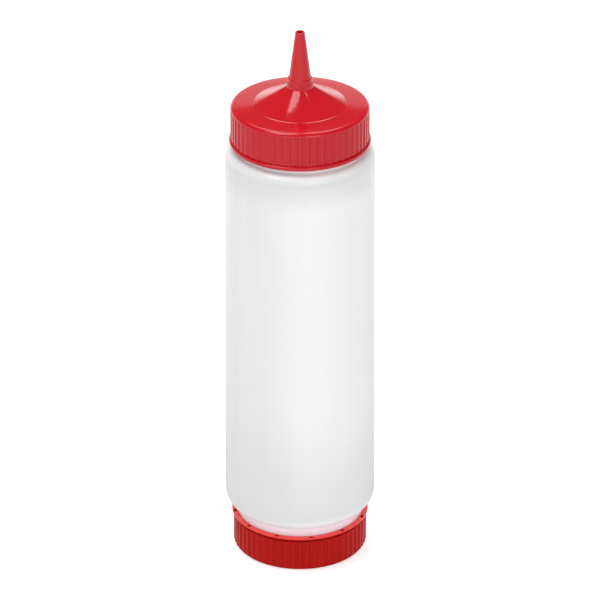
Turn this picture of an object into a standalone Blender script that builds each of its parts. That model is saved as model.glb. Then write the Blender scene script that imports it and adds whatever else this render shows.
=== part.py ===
# Condiment squeeze bottle, open at both ends, closed by a spouted screw cap on top
# and by a flat ribbed screw cap below, each with its own flat sealing ring.
# Blender 4.5, metres, +Z up. The origin is on the axis, on the surface it stands on.

import math

import bmesh
import bpy

# Clearances and overruns
SEAT_GAP = 0.00025
THREAD_FLANK_GAP = 0.0003
THREAD_RADIAL_GAP = 0.00035
RING_SIDE_GAP = 0.0003
CUT_OVERRUN = 0.002
THREAD_SINK = 0.0005

# Bottle, blow moulded. A shoulder's reach is how far it stands out from its neck.
NECK_RADIUS = 0.0296
NECK_WALL = 0.0016
UPPER_NECK_LENGTH = 0.0188
LOWER_NECK_LENGTH = 0.0187
NECK_RIM_EDGE = 0.0003
NECK_BEAD_REACH = 0.001
NECK_BEAD_EDGE = 0.0003
NECK_BEAD_OVERLAP = 0.0005
BODY_STRAIGHT_LENGTH = 0.1781
BODY_WALL = 0.0012
UPPER_SHOULDER_REACH = 0.0058
UPPER_SHOULDER_RADIUS = 0.0045
UPPER_SHOULDER_SLOPE = math.radians(10)
LOWER_SHOULDER_REACH = 0.0067
LOWER_SHOULDER_RADIUS = 0.008
LOWER_SHOULDER_SLOPE = math.radians(20)

# Screw thread, the same on both necks
THREAD_PITCH = 0.005
THREAD_TURNS = 2.0
THREAD_DEPTH = 0.001
THREAD_ROOT_WIDTH = 0.0019
THREAD_CREST_WIDTH = 0.0009
THREAD_RUN_OUT_TURNS = 0.12
NECK_THREAD_SETBACK = 0.0024
CAP_THREAD_SETBACK = 0.0026

# Sealing rings
RING_THICKNESS = 0.0012
RING_OVERLAP = 0.0004

# Dispensing cap, skirt and lid. The skirt's wall is measured out to the ribs' crests,
# and the mouth gap is what shows of the neck between the skirt and the shoulder.
LID_THICKNESS = 0.0015
LID_EDGE_RADIUS = 0.0013
LID_BAND_HEIGHT = 0.0007
SKIRT_WALL = 0.00185
UPPER_MOUTH_GAP = 0.0021
FLANGE_REACH = 0.00065
FLANGE_HEIGHT = 0.002
FLANGE_EDGE = 0.0005
FLANGE_FILLET = 0.0007
UPPER_RIB_COUNT = 57
RIB_DEPTH = 0.00035
RIB_END_LENGTH = 0.0007
MOUTH_CHAMFER = 0.0006

# Dispensing cap, dome and spout
LID_RIM_WIDTH = 0.0109
DOME_HEIGHT = 0.009
LOWER_COLLAR_HEIGHT = 0.0024
LOWER_COLLAR_TAPER = 0.00025
COLLAR_STEP = 0.00025
UPPER_COLLAR_HEIGHT = 0.0021
UPPER_COLLAR_TAPER = 0.00025
COLLAR_LEDGE = 0.00045
SPOUT_FOOT_RADIUS = 0.0052
SPOUT_FOOT_WALL = 0.001
SPOUT_LENGTH = 0.0232
SPOUT_HOLE_RADIUS = 0.00135
SPOUT_TIP_WALL = 0.00085
SPOUT_TIP_EDGE = 0.0003

# Refill cap
FLOOR_THICKNESS = 0.0015
FLOOR_EDGE = 0.0008
REFILL_SKIRT_WALL = 0.0014
LOWER_MOUTH_GAP = 0.0038
REFILL_RIM_REACH = 0.00075
REFILL_RIM_HEIGHT = 0.0016
REFILL_RIM_EDGE = 0.0004
LOWER_RIB_COUNT = 55
NOTCH_COUNT = 12
NOTCH_WIDTH = 0.0014
NOTCH_LENGTH = 0.0009
NOTCH_DEPTH = 0.0007
NOTCH_SETBACK = 0.0005
NOTCH_START = math.radians(-80.4)

# Facets
BOTTLE_COLUMNS = 64
BORE_COLUMNS = 64
DOME_COLUMNS = 48
RING_COLUMNS = 48
THREAD_STEPS_PER_TURN = 36
UPPER_SHOULDER_STEPS = 4
LOWER_SHOULDER_STEPS = 5
LID_EDGE_STEPS = 2
RIB_COLUMN_SHARES = (0.0, 0.25, 0.75)
RIB_DEPTH_SHARES = (0.0, 1.0, 1.0)
SMOOTH_ANGLE = math.radians(30)

# Colours, roughness and metallic value of each moulding
NATURAL_WHITE = (0.86, 0.87, 0.88, 1.0)
SPOUT_RED = (0.62, 0.012, 0.024, 1.0)
BASE_RED = (0.47, 0.012, 0.01, 1.0)
SEAL_WHITE = (0.8, 0.79, 0.76, 1.0)

# Radii that follow the neck
NECK_BORE_RADIUS = NECK_RADIUS - NECK_WALL
NECK_BEAD_RADIUS = NECK_RADIUS + NECK_BEAD_REACH
BODY_UPPER_RADIUS = NECK_RADIUS + UPPER_SHOULDER_REACH
BODY_LOWER_RADIUS = NECK_RADIUS + LOWER_SHOULDER_REACH
CAP_BORE_RADIUS = NECK_RADIUS + THREAD_DEPTH + THREAD_RADIAL_GAP
RING_INNER_RADIUS = NECK_BORE_RADIUS - RING_OVERLAP
RING_OUTER_RADIUS = CAP_BORE_RADIUS - RING_SIDE_GAP
SKIRT_RADIUS = CAP_BORE_RADIUS + SKIRT_WALL
FLANGE_RADIUS = SKIRT_RADIUS + FLANGE_REACH
DOME_RADIUS = SKIRT_RADIUS - LID_RIM_WIDTH
REFILL_SKIRT_RADIUS = CAP_BORE_RADIUS + REFILL_SKIRT_WALL
REFILL_RIM_RADIUS = REFILL_SKIRT_RADIUS + REFILL_RIM_REACH

# Radii that follow the spout
COLLAR_TOP_RADIUS = SPOUT_FOOT_RADIUS + COLLAR_LEDGE
UPPER_COLLAR_RADIUS = COLLAR_TOP_RADIUS + UPPER_COLLAR_TAPER
LOWER_COLLAR_RADIUS = UPPER_COLLAR_RADIUS + COLLAR_STEP
COLLAR_FOOT_RADIUS = LOWER_COLLAR_RADIUS + LOWER_COLLAR_TAPER
SPOUT_BORE_FOOT_RADIUS = SPOUT_FOOT_RADIUS - SPOUT_FOOT_WALL
SPOUT_TIP_RADIUS = SPOUT_HOLE_RADIUS + SPOUT_TIP_WALL


# How far a shoulder's straight slope climbs between two radii
def slope_rise(radius_from, radius_to, slope):
    return (radius_from - radius_to) * math.tan(slope)


# Radius at which a shoulder's arc runs over into its slope
def arc_end_radius(tangent_radius, arc_radius, slope):
    return tangent_radius - arc_radius + arc_radius * math.sin(slope)


# Levels on the bottle, counted from the rim of its lower neck
LOWER_ARC_END_RADIUS = arc_end_radius(
    BODY_LOWER_RADIUS, LOWER_SHOULDER_RADIUS, LOWER_SHOULDER_SLOPE)
UPPER_ARC_END_RADIUS = arc_end_radius(
    BODY_UPPER_RADIUS, UPPER_SHOULDER_RADIUS, UPPER_SHOULDER_SLOPE)
LOWER_TANGENT = (
    LOWER_NECK_LENGTH
    + slope_rise(LOWER_ARC_END_RADIUS, NECK_RADIUS, LOWER_SHOULDER_SLOPE)
    + LOWER_SHOULDER_RADIUS * math.cos(LOWER_SHOULDER_SLOPE))
UPPER_TANGENT = LOWER_TANGENT + BODY_STRAIGHT_LENGTH
UPPER_NECK_FOOT = (
    UPPER_TANGENT
    + UPPER_SHOULDER_RADIUS * math.cos(UPPER_SHOULDER_SLOPE)
    + slope_rise(UPPER_ARC_END_RADIUS, NECK_RADIUS, UPPER_SHOULDER_SLOPE))
BOTTLE_HEIGHT = UPPER_NECK_FOOT + UPPER_NECK_LENGTH

# Each cap takes a sealing ring between its end wall and the neck's rim
SEAL_STACK = SEAT_GAP + RING_THICKNESS + SEAT_GAP
SKIRT_HEIGHT = LID_THICKNESS + SEAL_STACK + UPPER_NECK_LENGTH - UPPER_MOUTH_GAP
REFILL_SKIRT_HEIGHT = FLOOR_THICKNESS + SEAL_STACK + LOWER_NECK_LENGTH - LOWER_MOUTH_GAP
THREAD_OFFSET = (THREAD_ROOT_WIDTH + THREAD_CREST_WIDTH) / 2 + THREAD_FLANK_GAP

# World levels, built up from the surface that the bottle stands on
LOWER_RING_LEVEL = FLOOR_THICKNESS + SEAT_GAP
BOTTLE_LEVEL = FLOOR_THICKNESS + SEAL_STACK
UPPER_RIM_LEVEL = BOTTLE_LEVEL + BOTTLE_HEIGHT
UPPER_RING_LEVEL = UPPER_RIM_LEVEL + SEAT_GAP
SPOUT_CAP_LEVEL = UPPER_RIM_LEVEL + SEAL_STACK + LID_THICKNESS - SKIRT_HEIGHT


def clear_scene():
    for item in list(bpy.data.objects):
        bpy.data.objects.remove(item, do_unlink=True)


def make_material(name, colour, roughness, metallic=0.0):
    material = bpy.data.materials.new(name)
    material.use_nodes = True
    shader = material.node_tree.nodes["Principled BSDF"]
    shader.inputs["Base Color"].default_value = colour
    shader.inputs["Roughness"].default_value = roughness
    shader.inputs["Metallic"].default_value = metallic
    material.diffuse_color = colour
    return material


def make_object(name, bm, material=None):
    bmesh.ops.recalc_face_normals(bm, faces=bm.faces)
    mesh = bpy.data.meshes.new(name)
    bm.to_mesh(mesh)
    bm.free()
    mesh.shade_smooth()
    mesh.set_sharp_from_angle(angle=SMOOTH_ANGLE)
    if material:
        mesh.materials.append(material)
    item = bpy.data.objects.new(name, mesh)
    bpy.context.scene.collection.objects.link(item)
    return item


# Equal angles round the axis, each with a depth share of zero
def plain_columns(count):
    return [(2 * math.pi * index / count, 0.0) for index in range(count)]


# Angles round a ribbed skirt, with the share of the rib depth that is cut away at each
def ribbed_columns(rib_count):
    columns = []
    for rib in range(rib_count):
        for place_share, depth_share in zip(RIB_COLUMN_SHARES, RIB_DEPTH_SHARES):
            angle = 2 * math.pi * (rib + place_share) / rib_count - math.pi / 2
            columns.append((angle, depth_share))
    return columns


# Turns an outline of (radius, height) or (radius, height, cut depth) points round the
# axis. An open outline is closed by a flat face at each end, a closed one is a tube.
def turned_mesh(outline, columns, closed=False):
    bm = bmesh.new()
    rows = []
    for point in outline:
        radius, height = point[0], point[1]
        depth = point[2] if len(point) > 2 else 0.0
        row = []
        for angle, depth_share in columns:
            reach = radius - depth * depth_share
            row.append(bm.verts.new((reach * math.cos(angle), reach * math.sin(angle), height)))
        rows.append(row)
    pairs = list(zip(rows, rows[1:]))
    if closed:
        pairs.append((rows[-1], rows[0]))
    for low, high in pairs:
        for index in range(len(columns)):
            following = (index + 1) % len(columns)
            bm.faces.new((low[index], low[following], high[following], high[index]))
    if not closed:
        bm.faces.new(rows[0])
        bm.faces.new(rows[-1])
    return bm


# Points on an arc about (centre_radius, centre_height), from one angle to another
def arc_points(centre_radius, centre_height, radius, start, end, steps):
    points = []
    for step in range(steps + 1):
        angle = start + (end - start) * step / steps
        points.append((centre_radius + radius * math.cos(angle),
                       centre_height + radius * math.sin(angle)))
    return points


# One wall of the bottle, as an outline that runs from its lower neck up to its upper
# neck: inset is zero for the outside, and the wall's thickness for the inside.
def bottle_wall_outline(inset, neck_radius):
    lower_arc = arc_points(
        BODY_LOWER_RADIUS - LOWER_SHOULDER_RADIUS, LOWER_TANGENT,
        LOWER_SHOULDER_RADIUS - inset,
        LOWER_SHOULDER_SLOPE - math.pi / 2, 0.0, LOWER_SHOULDER_STEPS)
    upper_arc = arc_points(
        BODY_UPPER_RADIUS - UPPER_SHOULDER_RADIUS, UPPER_TANGENT,
        UPPER_SHOULDER_RADIUS - inset,
        0.0, math.pi / 2 - UPPER_SHOULDER_SLOPE, UPPER_SHOULDER_STEPS)
    lower_foot = lower_arc[0][1] - slope_rise(
        lower_arc[0][0], neck_radius, LOWER_SHOULDER_SLOPE)
    upper_foot = upper_arc[-1][1] + slope_rise(
        upper_arc[-1][0], neck_radius, UPPER_SHOULDER_SLOPE)
    return [(neck_radius, lower_foot)] + lower_arc + upper_arc + [(neck_radius, upper_foot)]


# A helical ridge of trapezoid section on a wall of the given radius. side is 1 for a
# ridge that stands outwards from a neck, and -1 for one that stands inwards in a cap.
def thread_mesh(wall_radius, side, start_height, start_angle):
    bm = bmesh.new()
    steps = round(THREAD_TURNS * THREAD_STEPS_PER_TURN)
    root = wall_radius - side * THREAD_SINK
    sections = []
    for step in range(steps + 1):
        turns = THREAD_TURNS * step / steps
        run_in = min(turns, THREAD_TURNS - turns) / THREAD_RUN_OUT_TURNS
        rise = min(run_in, 1.0) * (THREAD_DEPTH + THREAD_SINK / 2) - THREAD_SINK / 2
        crest = wall_radius + side * rise
        angle = start_angle + 2 * math.pi * turns
        middle = start_height + THREAD_PITCH * turns
        corners = (
            (root, middle - THREAD_ROOT_WIDTH / 2),
            (crest, middle - THREAD_CREST_WIDTH / 2),
            (crest, middle + THREAD_CREST_WIDTH / 2),
            (root, middle + THREAD_ROOT_WIDTH / 2))
        sections.append([
            bm.verts.new((radius * math.cos(angle), radius * math.sin(angle), height))
            for radius, height in corners])
    for here, there in zip(sections, sections[1:]):
        for index in range(len(here)):
            following = (index + 1) % len(here)
            bm.faces.new((here[index], here[following], there[following], there[index]))
    bm.faces.new(sections[0])
    bm.faces.new(sections[-1])
    return bm


# Hides a working shape, places it with its piece and joins or cuts it
def apply_shape(piece, shape, operation):
    shape.hide_render = True
    shape.display_type = 'WIRE'
    shape.parent = piece
    modifier = piece.modifiers.new(shape.name, 'BOOLEAN')
    modifier.object = shape
    modifier.operation = operation
    modifier.solver = 'EXACT'


# Angle at which the shared helix through (height zero, angle zero) reaches a height
def helix_angle(height):
    return 2 * math.pi * height / THREAD_PITCH


# A bead round the foot of each neck nearly fills the cap's mouth and reaches just into it
def make_bottle(material):
    outside = bottle_wall_outline(0.0, NECK_BEAD_RADIUS)
    inside = bottle_wall_outline(BODY_WALL, NECK_BORE_RADIUS)
    lower_rim = [(NECK_BORE_RADIUS, 0.0), (NECK_RADIUS - NECK_RIM_EDGE, 0.0),
                 (NECK_RADIUS, NECK_RIM_EDGE)]
    lower_bead_end = LOWER_NECK_LENGTH - LOWER_MOUTH_GAP - NECK_BEAD_OVERLAP
    upper_bead_end = BOTTLE_HEIGHT - UPPER_NECK_LENGTH + UPPER_MOUTH_GAP + NECK_BEAD_OVERLAP
    lower_bead = [(NECK_RADIUS, lower_bead_end),
                  (NECK_BEAD_RADIUS - NECK_BEAD_EDGE, lower_bead_end),
                  (NECK_BEAD_RADIUS, lower_bead_end + NECK_BEAD_EDGE)]
    upper_bead = [(NECK_BEAD_RADIUS, upper_bead_end - NECK_BEAD_EDGE),
                  (NECK_BEAD_RADIUS - NECK_BEAD_EDGE, upper_bead_end),
                  (NECK_RADIUS, upper_bead_end)]
    upper_rim = [(NECK_RADIUS, BOTTLE_HEIGHT - NECK_RIM_EDGE),
                 (NECK_RADIUS - NECK_RIM_EDGE, BOTTLE_HEIGHT),
                 (NECK_BORE_RADIUS, BOTTLE_HEIGHT)]
    outline = lower_rim + lower_bead + outside + upper_bead + upper_rim + inside[::-1]
    bottle = make_object(
        "bottle_body", turned_mesh(outline, plain_columns(BOTTLE_COLUMNS), closed=True), material)
    bottle.location.z = BOTTLE_LEVEL
    thread_length = THREAD_TURNS * THREAD_PITCH
    lower_start = NECK_THREAD_SETBACK
    upper_start = BOTTLE_HEIGHT - NECK_THREAD_SETBACK - thread_length
    for name, start in (("lower_neck_thread", lower_start), ("upper_neck_thread", upper_start)):
        bm = thread_mesh(NECK_RADIUS, 1, start, helix_angle(start))
        apply_shape(bottle, make_object(name, bm), 'UNION')
    return bottle


# Level of the sloping outside of the dome above the lid, at a radius
def dome_level(radius):
    return DOME_HEIGHT * (DOME_RADIUS - radius) / (DOME_RADIUS - COLLAR_FOOT_RADIUS)


def make_dispensing_cap(material):
    core_radius = SKIRT_RADIUS - RIB_DEPTH
    rib_foot = FLANGE_HEIGHT + FLANGE_FILLET
    rib_top = SKIRT_HEIGHT - LID_EDGE_RADIUS - LID_BAND_HEIGHT
    lid_edge = arc_points(
        SKIRT_RADIUS - LID_EDGE_RADIUS, SKIRT_HEIGHT - LID_EDGE_RADIUS,
        LID_EDGE_RADIUS, 0.0, math.pi / 2, LID_EDGE_STEPS)
    skirt = [
        (FLANGE_RADIUS - FLANGE_EDGE, 0.0),
        (FLANGE_RADIUS, FLANGE_EDGE),
        (FLANGE_RADIUS, FLANGE_HEIGHT - FLANGE_EDGE),
        (core_radius, rib_foot),
        (SKIRT_RADIUS, rib_foot + RIB_END_LENGTH, RIB_DEPTH),
        (SKIRT_RADIUS, rib_top - RIB_END_LENGTH, RIB_DEPTH),
        (SKIRT_RADIUS, rib_top)] + lid_edge
    cap = make_object(
        "dispensing_cap", turned_mesh(skirt, ribbed_columns(UPPER_RIB_COUNT)), material)
    cap.location.z = SPOUT_CAP_LEVEL

    collar_foot = SKIRT_HEIGHT + DOME_HEIGHT
    collar_step = collar_foot + LOWER_COLLAR_HEIGHT
    collar_top = collar_step + UPPER_COLLAR_HEIGHT
    tip = collar_top + SPOUT_LENGTH
    dome = [
        (DOME_RADIUS, SKIRT_HEIGHT - LID_THICKNESS / 2),
        (DOME_RADIUS, SKIRT_HEIGHT),
        (COLLAR_FOOT_RADIUS, collar_foot),
        (LOWER_COLLAR_RADIUS, collar_step),
        (UPPER_COLLAR_RADIUS, collar_step),
        (COLLAR_TOP_RADIUS, collar_top),
        (SPOUT_FOOT_RADIUS, collar_top),
        (SPOUT_TIP_RADIUS, tip - SPOUT_TIP_EDGE),
        (SPOUT_TIP_RADIUS - SPOUT_TIP_EDGE, tip)]
    apply_shape(cap, make_object(
        "dome_and_spout", turned_mesh(dome, plain_columns(DOME_COLUMNS))), 'UNION')

    lid_underside = SKIRT_HEIGHT - LID_THICKNESS
    bore_foot = lid_underside + dome_level(SPOUT_BORE_FOOT_RADIUS)
    hollow = [
        (CAP_BORE_RADIUS + MOUTH_CHAMFER + CUT_OVERRUN, -CUT_OVERRUN),
        (CAP_BORE_RADIUS, MOUTH_CHAMFER),
        (CAP_BORE_RADIUS, lid_underside),
        (DOME_RADIUS, lid_underside),
        (SPOUT_BORE_FOOT_RADIUS, bore_foot),
        (SPOUT_HOLE_RADIUS, tip),
        (SPOUT_HOLE_RADIUS, tip + CUT_OVERRUN)]
    apply_shape(cap, make_object(
        "dispensing_cap_hollow", turned_mesh(hollow, plain_columns(BORE_COLUMNS))), 'DIFFERENCE')

    # The ridge in the cap lies under the ridge on the neck, on the same helix
    start = CAP_THREAD_SETBACK
    on_neck = SPOUT_CAP_LEVEL - BOTTLE_LEVEL + start + THREAD_OFFSET
    apply_shape(cap, make_object("dispensing_cap_thread", thread_mesh(
        CAP_BORE_RADIUS, -1, start, helix_angle(on_neck))), 'UNION')
    return cap


def make_refill_cap(material):
    core_radius = REFILL_SKIRT_RADIUS - RIB_DEPTH
    rim_foot = REFILL_SKIRT_HEIGHT - REFILL_RIM_HEIGHT
    skirt = [
        (core_radius - FLOOR_EDGE, 0.0),
        (REFILL_SKIRT_RADIUS, FLOOR_EDGE, RIB_DEPTH),
        (REFILL_SKIRT_RADIUS, rim_foot - RIB_END_LENGTH, RIB_DEPTH),
        (core_radius, rim_foot),
        (REFILL_RIM_RADIUS, rim_foot + REFILL_RIM_EDGE),
        (REFILL_RIM_RADIUS, REFILL_SKIRT_HEIGHT - REFILL_RIM_EDGE),
        (REFILL_RIM_RADIUS - REFILL_RIM_EDGE, REFILL_SKIRT_HEIGHT)]
    cap = make_object(
        "refill_cap", turned_mesh(skirt, ribbed_columns(LOWER_RIB_COUNT)), material)

    mouth_radius = CAP_BORE_RADIUS + MOUTH_CHAMFER / 2
    hollow = [
        (CAP_BORE_RADIUS, FLOOR_THICKNESS),
        (CAP_BORE_RADIUS, REFILL_SKIRT_HEIGHT - MOUTH_CHAMFER),
        (mouth_radius, REFILL_SKIRT_HEIGHT),
        (mouth_radius, REFILL_SKIRT_HEIGHT + CUT_OVERRUN)]
    apply_shape(cap, make_object(
        "refill_cap_hollow", turned_mesh(hollow, plain_columns(BORE_COLUMNS))), 'DIFFERENCE')

    # The ridge in this cap lies above the ridge on the neck, on the same helix
    start = REFILL_SKIRT_HEIGHT - CAP_THREAD_SETBACK - THREAD_TURNS * THREAD_PITCH
    on_neck = start - BOTTLE_LEVEL - THREAD_OFFSET
    apply_shape(cap, make_object("refill_cap_thread", thread_mesh(
        CAP_BORE_RADIUS, -1, start, helix_angle(on_neck))), 'UNION')

    apply_shape(cap, make_object("rim_notches", notch_mesh(mouth_radius)), 'DIFFERENCE')
    return cap


# Small blocks that cut the notches into the top of the refill cap's rim, between its edges
def notch_mesh(mouth_radius):
    bm = bmesh.new()
    low = REFILL_SKIRT_HEIGHT - NOTCH_DEPTH
    high = REFILL_SKIRT_HEIGHT + CUT_OVERRUN
    inner = mouth_radius + NOTCH_SETBACK
    outer = inner + NOTCH_LENGTH
    for index in range(NOTCH_COUNT):
        angle = NOTCH_START + 2 * math.pi * index / NOTCH_COUNT
        along = (math.cos(angle), math.sin(angle))
        across = (-math.sin(angle), math.cos(angle))
        corners = []
        for height in (low, high):
            for reach, side in ((inner, -1), (outer, -1), (outer, 1), (inner, 1)):
                offset = side * NOTCH_WIDTH / 2
                corners.append(bm.verts.new((
                    reach * along[0] + offset * across[0],
                    reach * along[1] + offset * across[1],
                    height)))
        bottom, top = corners[:4], corners[4:]
        bm.faces.new(bottom)
        bm.faces.new(top)
        for corner in range(4):
            following = (corner + 1) % 4
            bm.faces.new((bottom[corner], bottom[following], top[following], top[corner]))
    return bm


def make_ring(name, level, material):
    outline = [
        (RING_INNER_RADIUS, 0.0),
        (RING_OUTER_RADIUS, 0.0),
        (RING_OUTER_RADIUS, RING_THICKNESS),
        (RING_INNER_RADIUS, RING_THICKNESS)]
    ring = make_object(
        name, turned_mesh(outline, plain_columns(RING_COLUMNS), closed=True), material)
    ring.location.z = level
    return ring


def main():
    clear_scene()
    natural_plastic = make_material("natural_plastic", NATURAL_WHITE, 0.38)
    spout_plastic = make_material("red_spout_plastic", SPOUT_RED, 0.22)
    base_plastic = make_material("red_base_plastic", BASE_RED, 0.3)
    foam = make_material("seal_foam", SEAL_WHITE, 0.7)

    pieces = [
        make_bottle(natural_plastic),
        make_dispensing_cap(spout_plastic),
        make_refill_cap(base_plastic),
        make_ring("upper_seal_ring", UPPER_RING_LEVEL, foam),
        make_ring("lower_seal_ring", LOWER_RING_LEVEL, foam)]

    axis = bpy.data.objects.new("bottle_axis", None)
    bpy.context.scene.collection.objects.link(axis)
    for piece in pieces:
        piece.parent = axis


main()
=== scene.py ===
import math

import bmesh
import bpy
import mathutils
import numpy as np
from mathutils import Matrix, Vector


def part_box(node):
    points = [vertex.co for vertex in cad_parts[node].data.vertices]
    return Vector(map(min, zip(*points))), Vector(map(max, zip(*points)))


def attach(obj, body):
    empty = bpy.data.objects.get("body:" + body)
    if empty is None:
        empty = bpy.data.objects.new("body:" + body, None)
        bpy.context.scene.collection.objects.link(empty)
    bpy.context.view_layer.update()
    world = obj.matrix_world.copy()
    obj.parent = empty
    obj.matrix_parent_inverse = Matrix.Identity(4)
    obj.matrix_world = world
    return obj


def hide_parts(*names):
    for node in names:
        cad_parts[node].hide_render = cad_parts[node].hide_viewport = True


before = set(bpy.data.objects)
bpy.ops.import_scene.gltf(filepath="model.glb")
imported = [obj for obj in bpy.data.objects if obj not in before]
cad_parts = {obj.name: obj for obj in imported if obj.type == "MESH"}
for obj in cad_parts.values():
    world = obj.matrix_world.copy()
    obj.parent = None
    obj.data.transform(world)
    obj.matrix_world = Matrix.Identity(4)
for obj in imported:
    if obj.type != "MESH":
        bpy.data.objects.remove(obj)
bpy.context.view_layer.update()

# The photograph's viewpoint: straight on, looking down at the middle of the bottle
viewpoint = dict(
    distance=2.5,
    pitch=math.radians(27.44),
    aimHeight=0.13074,
    pixelsPerRadian=5227.5,
    framePixels=600,
    sensor=36.0,
    clipEnd=20,
)


def addCamera(v):
    camera = bpy.data.cameras.new("camera")
    camera.sensor_width = v["sensor"]
    camera.lens = v["pixelsPerRadian"] * v["sensor"] / v["framePixels"]
    camera.clip_end = v["clipEnd"]
    holder = bpy.data.objects.new("camera", camera)
    bpy.context.scene.collection.objects.link(holder)
    holder.location = (
        0,
        -v["distance"] * math.cos(v["pitch"]),
        v["aimHeight"] + v["distance"] * math.sin(v["pitch"]),
    )
    holder.rotation_euler = (math.pi / 2 - v["pitch"], 0, 0)
    bpy.context.scene.camera = holder


addCamera(viewpoint)
print("camera placed")

# Lengths that several pieces share: the tolerance of a comparison, the spacing of rows
# under threads and under ribs, and the radius of a crisp corner
hair = 1e-6
fineRow = 0.00025
skirtRow = 0.0004
crease = 0.0001


# Outlines are lists of (radius, height) or (radius, height, corner radius)
def roundCorners(outline, steps=5):
    points = [outline[0][:2]]
    for before, corner, after in zip(outline, outline[1:], outline[2:]):
        here = np.array(corner[:2])
        back = np.array(before[:2]) - here
        on = np.array(after[:2]) - here
        back = back / np.linalg.norm(back)
        on = on / np.linalg.norm(on)
        radius = corner[2] if len(corner) > 2 else 0
        if not radius:
            points.append(tuple(here))
            continue
        half = math.acos(np.clip(back @ on, -1, 1)) / 2
        middle = (back + on) / np.linalg.norm(back + on)
        centre = here + middle * radius / math.sin(half)
        first = here + back * radius / math.tan(half) - centre
        last = here + on * radius / math.tan(half) - centre
        sweep = math.pi - 2 * half
        for step in range(steps + 1):
            share = step / steps
            spoke = first * math.sin((1 - share) * sweep) + last * math.sin(share * sweep)
            points.append(tuple(centre + spoke / math.sin(sweep)))
    points.append(outline[-1][:2])
    return points


# Splits long stretches, so that relief on them has rows to stand on
def densify(outline, longest):
    points = [outline[0]]
    for start, end in zip(outline, outline[1:]):
        pieces = max(1, math.ceil(math.dist(start, end) / longest))
        for step in range(1, pieces + 1):
            share = step / pieces
            points.append(tuple(a + (b - a) * share for a, b in zip(start, end)))
    return points


# Gathers rings of points round the axis and skins them into one mesh
class Turning:
    def __init__(self, startAngle=-math.pi / 2):
        self.startAngle = startAngle
        self.points = []
        self.faces = []
        self.count = 0

    def rings(self, outline, columns, relief=None, drop=None):
        angles = self.startAngle + 2 * math.pi * np.arange(columns) / columns
        made = []
        for radius, height in outline:
            reach = np.full(columns, float(radius))
            level = np.full(columns, float(height))
            if relief:
                reach = reach + relief(angles, radius, height)
            if drop:
                level = level - drop(angles, radius, height)
            ring = np.stack([reach * np.cos(angles), reach * np.sin(angles), level], 1)
            self.points.append(ring)
            made.append(np.arange(self.count, self.count + columns))
            self.count += columns
        for low, high in zip(made, made[1:]):
            self.skin(low, high)
        return made[0], made[-1]

    def skin(self, low, high):
        quads = np.stack([low, np.roll(low, -1), np.roll(high, -1), high], 1)
        self.faces += quads.tolist()

    # Joins two rings with unlike numbers of points
    def stitch(self, low, high):
        i, j = 0, 0
        while i < len(low) or j < len(high):
            here, there = int(low[i % len(low)]), int(high[j % len(high)])
            if (i + 1) / len(low) <= (j + 1) / len(high):
                i += 1
                self.faces.append([here, int(low[i % len(low)]), there])
            else:
                j += 1
                self.faces.append([here, int(high[j % len(high)]), there])

    def close(self, ring, height):
        self.points.append(np.array([[0.0, 0.0, height]]))
        for a, b in zip(ring.tolist(), np.roll(ring, -1).tolist()):
            self.faces.append([a, b, self.count])
        self.count += 1

    def finish(self, name, sharpAngle=math.radians(40)):
        mesh = bpy.data.meshes.new(name)
        mesh.from_pydata(np.concatenate(self.points).tolist(), [], self.faces)
        bm = bmesh.new()
        bm.from_mesh(mesh)
        bmesh.ops.recalc_face_normals(bm, faces=bm.faces)
        bm.to_mesh(mesh)
        bm.free()
        mesh.shade_smooth()
        mesh.set_sharp_from_angle(angle=sharpAngle)
        piece = bpy.data.objects.new(name, mesh)
        bpy.context.scene.collection.objects.link(piece)
        return piece


def smoothStep(x):
    x = np.clip(x, 0, 1)
    return x * x * (3 - 2 * x)


# One screw thread for both ends. The ridge on a neck runs through angle zero at the
# lower rim, and the ridge in a cap lies beside it by the offset
thread = dict(pitch=0.005, turns=2.0, depth=0.001, root=0.0019, crest=0.0009,
              runOut=0.12, flankGap=0.0003, radialGap=0.00035)
bottleLow, bottleHigh = (corner.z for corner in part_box("bottle_body"))
threadOffset = (thread["root"] + thread["crest"]) / 2 + thread["flankGap"]


def threadRelief(angles, height, start, offset=0.0):
    t = thread
    first = 2 * math.pi * (start + offset - bottleLow) / t["pitch"]
    turn = np.mod((angles - first) / (2 * math.pi), 1.0)
    climb = (height - start) / t["pitch"]
    turn = turn + np.round(climb - turn)
    away = np.abs(height - start - turn * t["pitch"])
    rise = smoothStep((t["root"] / 2 - away) / ((t["root"] - t["crest"]) / 2))
    ends = smoothStep(np.minimum(turn, t["turns"] - turn) / t["runOut"])
    return t["depth"] * rise * ends


bottle = dict(
    neckRadius=0.0296, neckWall=0.0016, wall=0.0012, rimEdge=0.0004,
    lowerNeck=0.0187, straight=0.1781,
    upperReach=0.0058, upperArc=0.0045, upperSlope=math.radians(10),
    lowerReach=0.0067, lowerArc=0.008, lowerSlope=math.radians(20),
    threadSetback=0.0024, columns=288, arcSteps=12, bodyRow=0.004, shoulderRow=0.0006,
    beadReach=0.001, beadEdge=0.0003, beadOverlap=0.0005,
    footFillet=0.0003, waviness=0.00002,
    waves=((2, 40, 0, 1), (3, -55, 1, 0.6)),
)


# The run of one wall over a shoulder: from its slope at the neck to its tangent
def shoulderPoints(tangentRadius, tangentHeight, arc, slope, inset, side, steps):
    points = []
    for step in range(steps + 1):
        angle = (math.pi / 2 - slope) * (1 - step / steps)
        points.append((
            tangentRadius - arc + (arc - inset) * math.cos(angle),
            tangentHeight + side * (arc - inset) * math.sin(angle),
        ))
    return points


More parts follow.
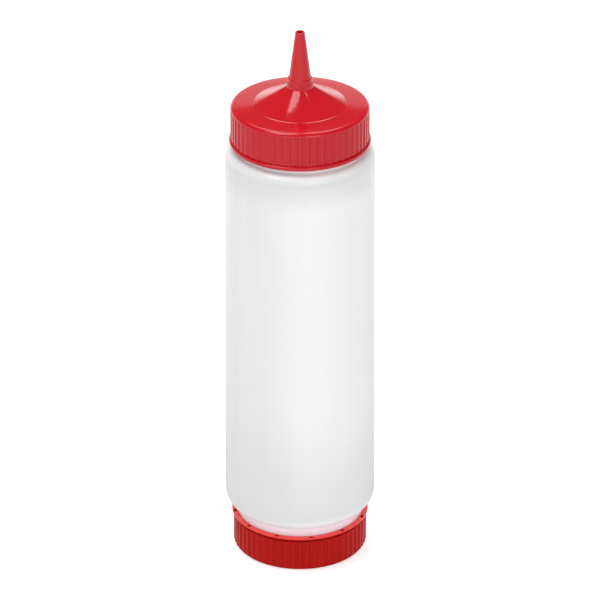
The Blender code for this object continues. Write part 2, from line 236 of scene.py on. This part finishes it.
def bottleWall(b, inset, neckRadius):
    lowRadius = b["neckRadius"] + b["lowerReach"]
    highRadius = b["neckRadius"] + b["upperReach"]
    lowEnd = lowRadius - b["lowerArc"] * (1 - math.sin(b["lowerSlope"]))
    lowTangent = (bottleLow + b["lowerNeck"]
                  + (lowEnd - b["neckRadius"]) * math.tan(b["lowerSlope"])
                  + b["lowerArc"] * math.cos(b["lowerSlope"]))
    highTangent = lowTangent + b["straight"]
    lower = shoulderPoints(lowRadius, lowTangent, b["lowerArc"], b["lowerSlope"],
                           inset, -1, b["arcSteps"])
    upper = shoulderPoints(highRadius, highTangent, b["upperArc"], b["upperSlope"],
                           inset, 1, b["arcSteps"])[::-1]
    lowFoot = lower[0][1] - (lower[0][0] - neckRadius) * math.tan(b["lowerSlope"])
    highFoot = upper[-1][1] + (upper[-1][0] - neckRadius) * math.tan(b["upperSlope"])
    body = densify([lower[-1], upper[0]], b["bodyRow"])
    return ([(neckRadius, lowFoot, b["footFillet"])] + lower + body[1:-1] + upper
            + [(neckRadius, highFoot, b["footFillet"])])


def makeBottle(b):
    threadLength = thread["turns"] * thread["pitch"]
    lowStart = bottleLow + b["threadSetback"]
    highStart = bottleHigh - b["threadSetback"] - threadLength

    beadRadius = b["neckRadius"] + b["beadReach"]
    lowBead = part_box("refill_cap")[1].z - b["beadOverlap"]
    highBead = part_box("dispensing_cap")[0].z + b["beadOverlap"]

    # The waves are taken inwards by their full height, so that they stay in the record's box
    def relief(angles, radius, height):
        if radius < b["neckRadius"] + b["beadEdge"] and not lowBead <= height <= highBead:
            grown = threadRelief(angles, height, lowStart)
            return grown + threadRelief(angles, height, highStart)
        wave = 0
        for count, lean, start, size in b["waves"]:
            wave = wave + size * (np.sin(count * angles + lean * height + start) - 1)
        share = smoothStep((radius - b["neckRadius"] - b["lowerReach"] / 2) / b["rimEdge"])
        return b["waviness"] * wave * share

    # A bead round the foot of each neck nearly fills the cap's mouth
    boreRadius = b["neckRadius"] - b["neckWall"]
    outside = [(boreRadius, bottleLow), (b["neckRadius"], bottleLow, b["rimEdge"])]
    outside += [(b["neckRadius"], lowBead), (beadRadius, lowBead, b["beadEdge"])]
    outside += bottleWall(b, 0.0, beadRadius)
    outside += [(beadRadius, highBead, b["beadEdge"]), (b["neckRadius"], highBead)]
    outside += [(b["neckRadius"], bottleHigh, b["rimEdge"]), (boreRadius, bottleHigh)]
    inside = [(boreRadius, bottleHigh)] + bottleWall(b, b["wall"], boreRadius)[::-1]
    inside += [(boreRadius, bottleLow)]

    turning = Turning()
    outerRows = densify(roundCorners(outside), fineRow)
    rows = [outerRows[0]]
    for row in outerRows[1:]:
        onNeck = row[0] <= beadRadius + hair
        if onNeck or math.dist(row, rows[-1]) > b["shoulderRow"]:
            rows.append(row)
    first, last = turning.rings(rows, b["columns"], relief)
    innerRows = roundCorners(inside)[1:-1]
    start, end = turning.rings(innerRows, b["columns"])
    turning.skin(last, start)
    turning.skin(end, first)
    return turning.finish("bottleShell")


bottleShell = makeBottle(bottle)
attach(bottleShell, "bottle")
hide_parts("bottle_body")
print("bottle made:", len(bottleShell.data.polygons), "faces")


# Broad flat ribs with soft sides and scalloped ends, and flat grooves between them. Shares
# are of the way from a rib's middle to a groove's
rib = dict(top=0.36, side=0.34)


def ribRelief(angles, height, count, depth, low, high, scallop, soft):
    place = np.mod((angles + math.pi / 2) * count / (2 * math.pi), 1.0)
    toCrest = np.abs(2 * place - 1)
    hollow = smoothStep((1 - toCrest - rib["top"]) / rib["side"])
    top = smoothStep((high - scallop * toCrest ** 2 - height) / soft)
    foot = smoothStep((height - low - scallop * toCrest ** 2) / soft)
    return -depth * hollow * top * foot


capBore = bottle["neckRadius"] + thread["depth"] + thread["radialGap"]
spout = dict(
    lid=0.0015, lidEdge=0.0019, skirtRadius=0.0328, skirtHeight=0.0199,
    flangeRadius=0.03345, flangeHeight=0.002, flangeEdge=0.0005, flangeUnder=0.0011,
    grooveDepth=0.0004, grooveRun=0.0002, grooveFillet=0.0002, footStep=0.0003,
    ribs=57, ribDepth=0.00055, ribFoot=0.0027, ribTop=0.0175, scallop=0.0006, ribSoft=0.0005,
    mouthChamfer=0.0006, mouthEdge=0.0002, ceilingFillet=0.0005, threadSetback=0.0026,
    domeRadius=0.0219, domeHeight=0.009, domeFillet=0.0022, domeHollow=0.00035,
    domeSteps=6, domeArc=0.02, lidCrown=0.0009, crownReach=0.003, crownShare=0.3,
    collarFoot=0.0064, collarLow=0.00615, collarMiddle=0.0059, collarTop=0.00565,
    lowCollar=0.0024, highCollar=0.0021, footFillet=0.0004, lowEdge=0.00012,
    stepFillet=0.00006, highEdge=0.0002, coneFillet=0.00015,
    coneFoot=0.0052, coneLength=0.0232, tipRadius=0.0022, tipEdge=0.00035,
    hole=0.00135, holeEdge=0.0002, boreFoot=0.0042, boreRise=0.93, boreFillet=0.001,
    ceilingReach=0.002, threadClear=0.001, skirtSteps=7, crownSteps=6,
    columnsPerRib=16, innerColumns=256, spoutColumns=192,
)


def makeSpoutCap(s):
    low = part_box("dispensing_cap")[0].z
    lidTop = low + s["skirtHeight"]
    lidUnder = lidTop - s["lid"]
    core = s["skirtRadius"] - s["ribDepth"]
    crownRing = (s["domeRadius"] + s["crownReach"], lidTop - s["lidCrown"] * s["crownShare"])
    skirt = [
        (capBore + s["mouthChamfer"], low),
        (s["flangeRadius"], low, s["flangeUnder"]),
        (s["flangeRadius"], low + s["flangeHeight"], s["flangeEdge"]),
        (core - s["grooveDepth"], low + s["ribFoot"] - s["grooveRun"], s["grooveFillet"]),
        (core, low + s["ribFoot"], crease),
        (s["skirtRadius"], low + s["ribFoot"] + s["footStep"], crease),
        (s["skirtRadius"], lidTop - s["lidCrown"], s["lidEdge"]),
        crownRing,
    ]
    collarFoot = lidTop + s["domeHeight"]
    collarStep = collarFoot + s["lowCollar"]
    collarTop = collarStep + s["highCollar"]
    tip = collarTop + s["coneLength"]
    dome = []
    for step in range(1, s["domeSteps"]):
        share = step / s["domeSteps"]
        sag = 4 * s["domeHollow"] * share * (1 - share)
        dome.append((
            s["domeRadius"] + (s["collarFoot"] - s["domeRadius"]) * share - sag / 2,
            lidTop + s["domeHeight"] * share - sag,
            s["domeArc"],
        ))
    crown = [
        crownRing,
        (s["domeRadius"], lidTop, s["domeFillet"]),
    ] + dome + [
        (s["collarFoot"], collarFoot, s["footFillet"]),
        (s["collarLow"], collarStep, s["lowEdge"]),
        (s["collarMiddle"], collarStep, s["stepFillet"]),
        (s["collarTop"], collarTop, s["highEdge"]),
        (s["coneFoot"], collarTop, s["coneFillet"]),
        (s["tipRadius"], tip, s["tipEdge"]),
        (s["hole"], tip, s["holeEdge"]),
        (s["boreFoot"], lidUnder + s["domeHeight"] * s["boreRise"], s["boreFillet"]),
        (s["domeRadius"], lidUnder, s["ceilingFillet"]),
        (s["domeRadius"] + s["ceilingReach"], lidUnder),
    ]
    inner = [
        (s["domeRadius"] + s["ceilingReach"], lidUnder),
        (capBore, lidUnder, s["ceilingFillet"]),
        (capBore, low + s["mouthChamfer"], s["mouthEdge"]),
        (capBore + s["mouthChamfer"], low),
    ]
    start = low + s["threadSetback"]

    def skirtRelief(angles, radius, height):
        if height < low + s["ribFoot"] or radius < s["skirtRadius"] - s["ribDepth"] / 2:
            return 0
        return ribRelief(angles, height, s["ribs"], s["ribDepth"], low + s["ribFoot"],
                         low + s["ribTop"], s["scallop"], s["ribSoft"])

    def boreRelief(angles, radius, height):
        if radius < capBore - hair or height > lidUnder - s["threadClear"]:
            return 0
        return -threadRelief(angles, height, start, threadOffset)

    turning = Turning()
    skirtRows = densify(roundCorners(skirt, s["skirtSteps"])[:-1], skirtRow) + [crownRing]
    mouth, lidRing = turning.rings(skirtRows, s["ribs"] * s["columnsPerRib"], skirtRelief)
    crownRows = roundCorners(crown, s["crownSteps"])[1:-1]
    domeRing, underRing = turning.rings(crownRows, s["spoutColumns"])
    turning.stitch(lidRing, domeRing)
    innerRows = densify(roundCorners(inner), fineRow)[1:-1]
    ceiling, innerMouth = turning.rings(innerRows, s["innerColumns"], boreRelief)
    turning.stitch(underRing, ceiling)
    turning.stitch(innerMouth, mouth)
    return turning.finish("spoutCap")


spoutCap = makeSpoutCap(spout)
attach(spoutCap, "dispensing_cap")
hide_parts("dispensing_cap")
print("spout cap made:", len(spoutCap.data.polygons), "faces")

refill = dict(
    floor=0.0015, floorEdge=0.0008, floorFillet=0.0005, skirtRadius=0.03235, height=0.0181,
    rimRadius=0.0331, rimHeight=0.00115, rimEdge=0.0003, grooveHeight=0.0013,
    grooveDepth=0.0003, cornerSteps=6,
    ribs=55, ribDepth=0.0006, scallop=0.0004, ribSoft=0.0004, ribFoot=0.0009,
    stepLow=0.001, stepHigh=0.0012, columnsPerRib=16, hub=0.004,
    lip=0.0003, lipHeight=0.0004, threadSetback=0.0026, threadClear=0.001,
    pits=12, pitFirst=math.radians(9.6), pitWidth=0.0021, pitLength=0.0012,
    pitDepth=0.0009, pitSetback=0.00085, pitDraft=0.00006,
)


def makeRefillCap(r):
    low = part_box("refill_cap")[0].z
    high = low + r["height"]
    rimFoot = high - r["rimHeight"]
    core = r["skirtRadius"] - r["ribDepth"]
    columns = r["ribs"] * r["columnsPerRib"]
    mouth = capBore - r["lip"]
    pitIn = mouth + r["pitSetback"]
    pitOut = pitIn + r["pitLength"]
    outline = [
        (r["hub"], low),
        (core, low, r["floorEdge"]),
        (core, low + r["stepLow"]),
        (r["skirtRadius"], low + r["stepHigh"], crease),
        (r["skirtRadius"], rimFoot - r["grooveHeight"], crease),
        (core - r["grooveDepth"], rimFoot - r["grooveHeight"], crease),
        (core - r["grooveDepth"], rimFoot, crease),
        (r["rimRadius"], rimFoot, r["rimEdge"]),
        (r["rimRadius"], high, r["rimEdge"]),
        (pitOut + r["pitDraft"], high),
        (pitOut - r["pitDraft"], high),
        (pitIn + r["pitDraft"], high),
        (pitIn - r["pitDraft"], high),
        (mouth, high, crease),
        (mouth, high - r["lipHeight"], crease),
        (capBore, high - 2 * r["lipHeight"]),
        (capBore, low + r["floor"], r["floorFillet"]),
        (r["hub"], low + r["floor"]),
    ]
    start = high - r["threadSetback"] - thread["turns"] * thread["pitch"]

    def relief(angles, radius, height):
        if radius > r["skirtRadius"] - r["ribDepth"] / 2 and height < rimFoot:
            return ribRelief(angles, height, r["ribs"], r["ribDepth"], low + r["ribFoot"],
                             high, r["scallop"], r["ribSoft"])
        onBore = abs(radius - capBore) < hair
        if onBore and low + r["floor"] + r["threadClear"] < height < high - r["threadClear"]:
            return -threadRelief(angles, height, start, -threadOffset)
        return 0

    def pitDrop(angles, radius, height):
        if not pitIn < radius < pitOut or height < high - hair:
            return 0
        fromFront = angles + math.pi / 2 - r["pitFirst"]
        spacing = 2 * math.pi / r["pits"]
        away = np.abs(fromFront - np.round(fromFront / spacing) * spacing) * radius
        return r["pitDepth"] * (away < r["pitWidth"] / 2)

    turning = Turning()
    rows = densify(roundCorners(outline, r["cornerSteps"])[:-1], skirtRow) + [outline[-1]]
    under, above = turning.rings(rows, columns, relief, pitDrop)
    turning.close(under, low)
    turning.close(above, low + r["floor"])
    return turning.finish("refillCap")


refillCap = makeRefillCap(refill)
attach(refillCap, "refill_cap")
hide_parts("refill_cap")
print("refill cap made:", len(refillCap.data.polygons), "faces")

seal = dict(inner=0.0276, edge=0.0003, sideGap=0.0003, columns=160, cornerSteps=4)


def makeSeal(name, node, s):
    low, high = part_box(node)
    outer = capBore - s["sideGap"]
    middle = (s["inner"] + outer) / 2
    outline = [
        (middle, low.z),
        (outer, low.z, s["edge"]),
        (outer, high.z, s["edge"]),
        (s["inner"], high.z, s["edge"]),
        (s["inner"], low.z, s["edge"]),
        (middle, low.z),
    ]
    turning = Turning()
    first, last = turning.rings(roundCorners(outline, s["cornerSteps"])[:-1], s["columns"])
    turning.skin(last, first)
    return turning.finish(name)


for name, node, body in (("upperSeal", "upper_seal_ring", "upper_seal"),
                         ("lowerSeal", "lower_seal_ring", "lower_seal")):
    ring = makeSeal(name, node, seal)
    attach(ring, body)
    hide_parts(node)
print("seals made")


# A socket that takes part in sums, and that makes any other node beside it
class Wire:
    def __init__(self, tree, socket=None):
        self.tree = tree
        self.socket = socket

    def node(self, kind, settings=None, sockets=None, out=0):
        made = self.tree.nodes.new(kind)
        for key, value in (settings or {}).items():
            if key == "stops":
                ramp = made.color_ramp
                ramp.interpolation = "EASE"
                while len(ramp.elements) < len(value):
                    ramp.elements.new(0.5)
                for element, (place, colour) in zip(ramp.elements, value):
                    element.position = place
                    element.color = colour
            else:
                setattr(made, key, value)
        for key, value in (sockets or {}).items():
            if isinstance(value, Wire):
                self.tree.links.new(value.socket, made.inputs[key])
            else:
                made.inputs[key].default_value = value
        return Wire(self.tree, made.outputs[out])

    def maths(self, operation, first, second):
        return self.node("ShaderNodeMath", {"operation": operation}, {0: first, 1: second})

    def mix(self, factor, first, second):
        return self.node("ShaderNodeMix", {"data_type": "RGBA"},
                         {0: factor, 6: first, 7: second}, out=2)

    def noise(self, place, scale, detail, roughness=0.5):
        return self.node("ShaderNodeTexNoise", {}, {
            "Vector": place, "Scale": scale, "Detail": detail, "Roughness": roughness})

    def axes(self, vector):
        return [self.node("ShaderNodeSeparateXYZ", {}, {0: vector}, out=axis) for axis in "XYZ"]

    def __add__(self, other):
        return self.maths("ADD", self, other)

    def __radd__(self, other):
        return self.maths("ADD", other, self)

    def __sub__(self, other):
        return self.maths("SUBTRACT", self, other)

    def __rsub__(self, other):
        return self.maths("SUBTRACT", other, self)

    def __mul__(self, other):
        return self.maths("MULTIPLY", self, other)

    def __rmul__(self, other):
        return self.maths("MULTIPLY", other, self)

    def __truediv__(self, other):
        return self.maths("DIVIDE", self, other)


def newMaterial(name):
    material = bpy.data.materials.new(name)
    material.use_nodes = True
    material.node_tree.nodes.clear()
    return material, Wire(material.node_tree)


def endWith(material, shader):
    output = material.node_tree.nodes.new("ShaderNodeOutputMaterial")
    material.node_tree.links.new(shader.socket, output.inputs["Surface"])


milky = dict(
    paleForLightAndTone=(0.995, 0.995, 0.995, 1), greyForShadeAndTone=(0.72, 0.724, 0.73, 1), roughness=0.25,
    paintedCapReflection=(1.0, 0.83, 0.895, 1), capReflectionHeight=0.0199, capReflectionReach=0.0031, capReflectionSoft=0.0008,
    paintedHighlightBand=math.radians(17), lean=math.radians(60),
    levels=((0.0235, 1.3), (0.0262, 1.15), (0.0298, 0.32), (0.042, 0.44), (0.092, 1.0),
            (0.192, 1.0), (0.205, 0.38), (0.209, 0.1), (0.2116, 0.45)), top=0.25,
    always=0.33, paintedSideShadeShare=0.13, paintedHighlightShare=0.42, paintedHighlightPower=3, cloudShare=0.4, cloudMatt=0.08,
    cloudScale=90, cloudStretch=(1, 1, 0.1), grainScale=900, grainDepth=0.00002,
    flowScale=160, flowStretch=(1, 1, 0.06), flowDepth=0.00004,
    subsurface=0.6, depth=0.0012, ior=1.5,
)


# The wall's colour is painted light and shade over a random tone: it is painted lighter in a band
# near the middle of the front and on the opposite side, and greyer towards the shoulders, where
# shade falls. Its levels say how light it is painted at which height
def milkyPlastic(m):
    material, wire = newMaterial("milkyPlastic")
    place = wire.node("ShaderNodeTexCoord", out="Object")
    x, y, z = wire.axes(place)
    square = x * x + y * y + hair

    # The cosine of twice the angle from a direction, counted from the front
    def around(angle):
        double = 2 * (angle - math.pi / 2)
        turned = (x * x - y * y) * math.cos(double) + x * y * (2 * math.sin(double))
        return turned / square

    # Painted light and shade by height: greyer on both shoulders, where shade falls, and lighter at
    # the foot of the lower shoulder, on the neck and under the flange
    stops = [(height / m["top"], (share, share, share, 1)) for height, share in m["levels"]]
    level = wire.node("ShaderNodeValToRGB", {"stops": stops}, {0: z * (1 / m["top"])})
    tall = wire.node("ShaderNodeMapping", {}, {"Vector": place, "Scale": m["cloudStretch"]})
    cloud = wire.noise(tall, m["cloudScale"], 2, 0.4)
    # Painted highlight: the band paints the wall lighter a little right of the front and on the
    # opposite side. The lean term is painted light and shade, darker to the front left and lighter
    # to the right
    paintedHighlightBand = wire.maths("POWER", around(m["paintedHighlightBand"]) * 0.5 + 0.5, m["paintedHighlightPower"])
    paintedLightAndTone = level * (m["always"] + around(m["lean"]) * m["paintedSideShadeShare"]
                        + paintedHighlightBand * m["paintedHighlightShare"] + cloud * m["cloudShare"])
    colour = wire.mix(paintedLightAndTone, m["greyForShadeAndTone"], m["paleForLightAndTone"])

    # The bead at the foot of the lower neck is painted pink, a painted reflection of the red of the
    # cap under it
    away = wire.maths("ABSOLUTE", z - m["capReflectionHeight"], 0)
    clear = wire.node("ShaderNodeMapRange", {}, {
        "Value": away, "From Min": m["capReflectionReach"] - m["capReflectionSoft"], "From Max": m["capReflectionReach"]})
    colour = wire.mix(clear, m["paintedCapReflection"], colour)
    drawn = wire.node("ShaderNodeMapping", {}, {"Vector": place, "Scale": m["flowStretch"]})
    flow = wire.noise(drawn, m["flowScale"], 2)
    grain = wire.noise(place, m["grainScale"], 2)
    bumped = wire.node("ShaderNodeBump", {}, {
        "Height": flow * m["flowDepth"] + grain * m["grainDepth"],
        "Distance": 1.0, "Strength": 1.0})
    shader = wire.node("ShaderNodeBsdfPrincipled", {}, {
        "Base Color": colour,
        "Roughness": cloud * m["cloudMatt"] + (m["roughness"] - m["cloudMatt"] / 2),
        "IOR": m["ior"],
        "Subsurface Weight": m["subsurface"],
        "Subsurface Radius": (1, 1, 1),
        "Subsurface Scale": m["depth"],
        "Normal": bumped,
    })
    endWith(material, shader)
    return material


# What both red mouldings have in common
moulded = dict(mottleScale=60, smearScale=240, peelScale=700, peelStrength=0.5, ior=1.5,
               reach=(1, 0.15, 0.08), depth=0.0015, rim=None)
brightRed = dict(
    moulded, name="brightRedPlastic", colour=(0.575, 0.008, 0.017, 1), shade=(0.54, 0.007, 0.014, 1),
    roughness=0.11, smudge=0.05, peelDepth=0.00002, subsurface=0.03, specular=0.5,
)
deepRed = dict(
    moulded, name="deepRedPlastic", colour=(0.50, 0.006, 0.003, 1), shade=(0.46, 0.005, 0.002, 1),
    roughness=0.22, smudge=0.08, peelDepth=0.00003, subsurface=0.2, specular=0.13,
    # The rim's colour is painted light, a lighter red on the refill cap's rim top and outer edge
    rim=dict(top=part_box("refill_cap")[1].z, colour=(0.93, 0.04, 0.035, 1), coatRoughness=0.12,
             depth=0.0001, outerRadius=0.0328, outerDepth=0.0006),
)


def redPlastic(r):
    material, wire = newMaterial(r["name"])
    place = wire.node("ShaderNodeTexCoord", out="Object")
    mottle = wire.noise(place, r["mottleScale"], 3, 0.55)
    smear = wire.noise(place, r["smearScale"], 4, 0.6)
    peel = wire.noise(place, r["peelScale"], 1)
    bumped = wire.node("ShaderNodeBump", {}, {
        "Height": peel * r["peelDepth"], "Distance": 1.0, "Strength": r["peelStrength"]})
    colour = wire.mix(mottle, r["shade"], r["colour"])
    sockets = {
        "Base Color": colour,
        "Roughness": smear * r["smudge"] + (r["roughness"] - r["smudge"] / 2),
        "IOR": r["ior"],
        "Specular IOR Level": r["specular"],
        "Subsurface Weight": r["subsurface"],
        "Subsurface Radius": r["reach"],
        "Subsurface Scale": r["depth"],
        "Normal": bumped,
    }

    # The rim's top and the top of its outer edge are painted a lighter red, as painted light, and
    # are glossier with a coat, but its pits are not
    if r["rim"]:
        rim = r["rim"]
        x, y, z = wire.axes(place)
        beyondPits = wire.maths("GREATER_THAN", x * x + y * y, rim["outerRadius"] ** 2)
        depth = beyondPits * rim["outerDepth"] + rim["depth"]
        rimPaintedLightAndCoat = wire.maths("GREATER_THAN", z + depth, rim["top"])
        sockets["Base Color"] = wire.mix(rimPaintedLightAndCoat, colour, rim["colour"])
        sockets["Coat Weight"] = rimPaintedLightAndCoat
        sockets["Coat Roughness"] = rim["coatRoughness"]
    shader = wire.node("ShaderNodeBsdfPrincipled", {}, sockets)
    endWith(material, shader)
    return material


foam = dict(light=(0.80, 0.79, 0.76, 1), dark=(0.66, 0.65, 0.62, 1), cellScale=1800,
            cellDepth=0.00012, roughness=0.82, cellGloss=0.1)


def foamMaterial(f):
    material, wire = newMaterial("sealFoam")
    place = wire.node("ShaderNodeTexCoord", out="Object")
    cells = wire.node("ShaderNodeTexVoronoi", {}, {"Vector": place, "Scale": f["cellScale"]})
    bumped = wire.node("ShaderNodeBump", {}, {
        "Height": cells * f["cellDepth"], "Distance": 1.0, "Strength": 0.8})
    shader = wire.node("ShaderNodeBsdfPrincipled", {}, {
        "Base Color": wire.mix(cells, f["dark"], f["light"]),
        "Roughness": f["roughness"] - cells * f["cellGloss"],
        "Normal": bumped,
    })
    endWith(material, shader)
    return material


bottleShell.data.materials.append(milkyPlastic(milky))
spoutCap.data.materials.append(redPlastic(brightRed))
refillCap.data.materials.append(redPlastic(deepRed))
foamFinish = foamMaterial(foam)
for name in ("upperSeal", "lowerSeal"):
    bpy.data.objects[name].data.materials.append(foamFinish)
print("materials made")

stage = dict(size=6.0, level=-0.0002, colour=(0.76, 0.76, 0.76, 1),
             fleck=(0.8, 0.8, 0.8, 1), fleckShare=0.02, fleckScale=300, glow=0.50,
             front=0.77, behind=1.1, frontUpTo=0.0, behindFrom=0.45)


# A plain white floor that keeps the shadow, with a glow that only the camera sees.
# Reflections see it evenly lit in front, and brighter behind
def makeStage(s):
    half = s["size"] / 2
    mesh = bpy.data.meshes.new("floor")
    mesh.from_pydata([(-half, -half, 0), (half, -half, 0), (half, half, 0), (-half, half, 0)],
                     [], [(0, 1, 2, 3)])
    floor = bpy.data.objects.new("floor", mesh)
    bpy.context.scene.collection.objects.link(floor)
    floor.location.z = s["level"]
    material, wire = newMaterial("floorWhite")
    grain = wire.node("ShaderNodeTexNoise", {}, {"Scale": s["fleckScale"], "Detail": 2})
    plain = wire.node("ShaderNodeBsdfDiffuse", {}, {
        "Color": wire.mix(grain * s["fleckShare"], s["colour"], s["fleck"])})
    seen = wire.node("ShaderNodeLightPath", out="Is Camera Ray")
    mirrored = wire.node("ShaderNodeLightPath", out="Is Glossy Ray")
    glow = wire.node("ShaderNodeEmission", {}, {"Color": seen * s["glow"]})
    place = wire.node("ShaderNodeTexCoord", out="Object")
    back = wire.node("ShaderNodeSeparateXYZ", {}, {0: place}, out="Y")
    level = wire.node("ShaderNodeMapRange", {"interpolation_type": "SMOOTHSTEP"}, {
        "Value": back, "From Min": s["frontUpTo"], "From Max": s["behindFrom"],
        "To Min": s["front"], "To Max": s["behind"]})
    reflected = wire.node("ShaderNodeEmission", {}, {"Color": level})
    lit = wire.node("ShaderNodeAddShader", {}, {0: plain, 1: glow})
    endWith(material, wire.node("ShaderNodeMixShader", {}, {0: mirrored, 1: lit, 2: reflected}))
    mesh.materials.append(material)


makeStage(stage)

sky = dict(low=0.95, high=0.62, lowUpTo=12, highFrom=35,
           horizon=1.0, ceiling=0.10, whiteUpTo=6, darkFrom=14)


# The light comes most from low down. Reflections see a white horizon under a dark studio
# ceiling, and the camera sees plain white
def makeWorld(s):
    world = bpy.data.worlds.new("studio")
    bpy.context.scene.world = world
    world.use_nodes = True
    tree = world.node_tree
    tree.nodes.clear()
    wire = Wire(tree)
    direction = wire.node("ShaderNodeTexCoord", out="Generated")
    rise = wire.node("ShaderNodeSeparateXYZ", {}, {0: direction}, out="Z")

    def fade(upTo, beyond, first, last):
        return wire.node("ShaderNodeMapRange", {"interpolation_type": "SMOOTHSTEP"}, {
            "Value": rise,
            "From Min": math.sin(math.radians(upTo)),
            "From Max": math.sin(math.radians(beyond)),
            "To Min": first, "To Max": last})

    light = fade(s["lowUpTo"], s["highFrom"], s["low"], s["high"])
    shown = fade(s["whiteUpTo"], s["darkFrom"], s["horizon"], s["ceiling"])
    camera = wire.node("ShaderNodeLightPath", out="Is Camera Ray")
    mirrored = wire.node("ShaderNodeLightPath", out="Is Glossy Ray")
    through = wire.node("ShaderNodeLightPath", out="Is Transmission Ray")
    reflected = wire.maths("MINIMUM", mirrored + through, 1.0)
    plain = (1 - camera) * light + camera
    strength = (1 - reflected) * plain + reflected * shown
    back = wire.node("ShaderNodeBackground", {}, {"Color": (1, 1, 1, 1), "Strength": strength})
    output = tree.nodes.new("ShaderNodeOutputWorld")
    tree.links.new(back.socket, output.inputs["Surface"])


makeWorld(sky)

# Each lamp hangs in a direction from the lid, given as sideways, back and up, and its
# width lies along its second direction. A lamp with a glow of 1 looks plain white
lamps = [
    dict(name="backCard", toward=(0, 1, 0.175), along=(1, 0, 0), distance=1.6,
         width=1.32, height=0.93, glow=0.62),
    dict(name="overheadLamp", toward=(-0.33, -0.15, 0.93), along=(0.70, -0.72, 0),
         distance=1.2, width=0.5, height=0.74, glow=4.9),
    dict(name="overheadStrip", toward=(0.36, -0.04, 0.92), along=(1, 0, 0), distance=1.2,
         width=0.06, height=0.3, glow=4.5),
    dict(name="backTopLamp", toward=(0, 0.62, 0.80), along=(1, 0, 0), distance=1.5,
         width=0.8, height=0.5, glow=4.6),
    dict(name="frontRightLamp", toward=(0.38, -0.92, 0.36), along=(0.92, 0.38, 0),
         distance=1.5, width=0.5, height=0.7, glow=2.6),
    dict(name="frontStrip", toward=(-0.18, -1, 0.13), along=(1, -0.18, 0),
         distance=1.5, width=1.1, height=0.1, glow=4.2),
]
lidCentre = (0, 0, 0.235)


def addLamp(p):
    light = bpy.data.lights.new(p["name"], "AREA")
    light.shape = "RECTANGLE"
    light.size = p["width"]
    light.size_y = p["height"]
    light.energy = p["glow"] * math.pi * p["width"] * p["height"]
    holder = bpy.data.objects.new(p["name"], light)
    bpy.context.scene.collection.objects.link(holder)
    toward = mathutils.Vector(p["toward"]).normalized()
    upward = toward.cross(mathutils.Vector(p["along"])).normalized()
    across = upward.cross(toward)
    turn = mathutils.Matrix((across, upward, toward)).transposed().to_4x4()
    place = mathutils.Vector(lidCentre) + toward * p["distance"]
    holder.matrix_world = mathutils.Matrix.Translation(place) @ turn


for lamp in lamps:
    addLamp(lamp)
bpy.context.scene.view_settings.view_transform = "Standard"
print("stage lit")
